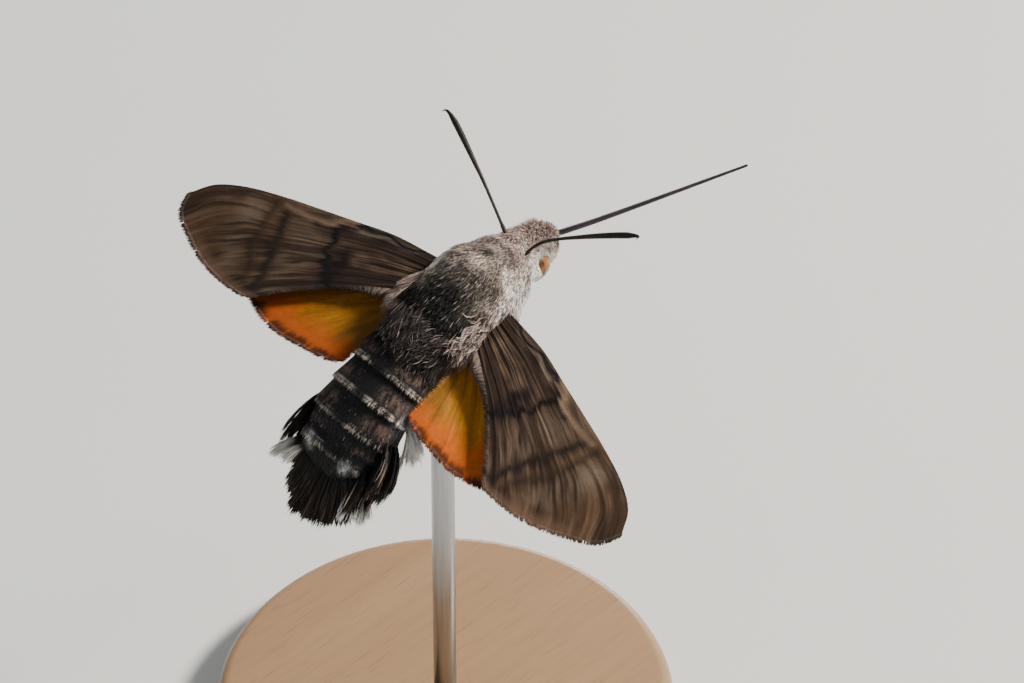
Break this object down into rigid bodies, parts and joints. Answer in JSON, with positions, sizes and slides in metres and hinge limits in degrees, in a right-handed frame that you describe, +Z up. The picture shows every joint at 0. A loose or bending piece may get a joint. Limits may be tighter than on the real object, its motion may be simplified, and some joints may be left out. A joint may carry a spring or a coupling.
{
  "type": "hummingbird hawk moth",
  "caption": "Life-size hovering hawk moth with spread wings, clubbed feelers, long tongue and tail fan, held by a rod on a round base.",
  "frame": {"origin": "centre of the underside of the stand's base", "axes": "+Z up, the moth's head looks along -Y and its left side is towards +X"},
  "size_m": [0.0456, 0.0519, 0.052],
  "materials": {
    "pale_fur": "grey-brown fur with pale hair tips",
    "dark_scales": "blackish-brown scales with pale segment edges and white side tufts",
    "tail_scales": "black-brown long tail scales",
    "eye": "orange-brown compound eye with a soft gloss",
    "white_scales": "cream-white scales",
    "feeler": "dark brown with fine pale rings",
    "tongue": "near-black horn",
    "forewing": "grey-brown scales with black cross bands",
    "hindwing": "orange-yellow scales with a rust and brown border",
    "leg": "grey-buff scales",
    "stand_wood": "satin light wood",
    "stand_steel": "brushed steel rod"
  },
  "bodies": {
    "root": {"head": "pale_fur", "collar": "pale_fur", "thorax": "pale_fur", "abdomen": "dark_scales", "tail_fan": "tail_scales", "eye_left": "eye", "eye_right": "eye", "palp_left": "white_scales", "palp_right": "white_scales", "antenna_left": "feeler", "antenna_right": "feeler", "proboscis": "tongue", "forewing_left": "forewing", "forewing_right": "forewing", "hindwing_left": "hindwing", "hindwing_right": "hindwing", "leg_front_left": "leg", "leg_front_right": "leg", "leg_middle_left": "leg", "leg_middle_right": "leg", "leg_hind_left": "leg", "leg_hind_right": "leg", "stand_base": "stand_wood", "stand_rod": "stand_steel"}
  },
  "joints": []
}
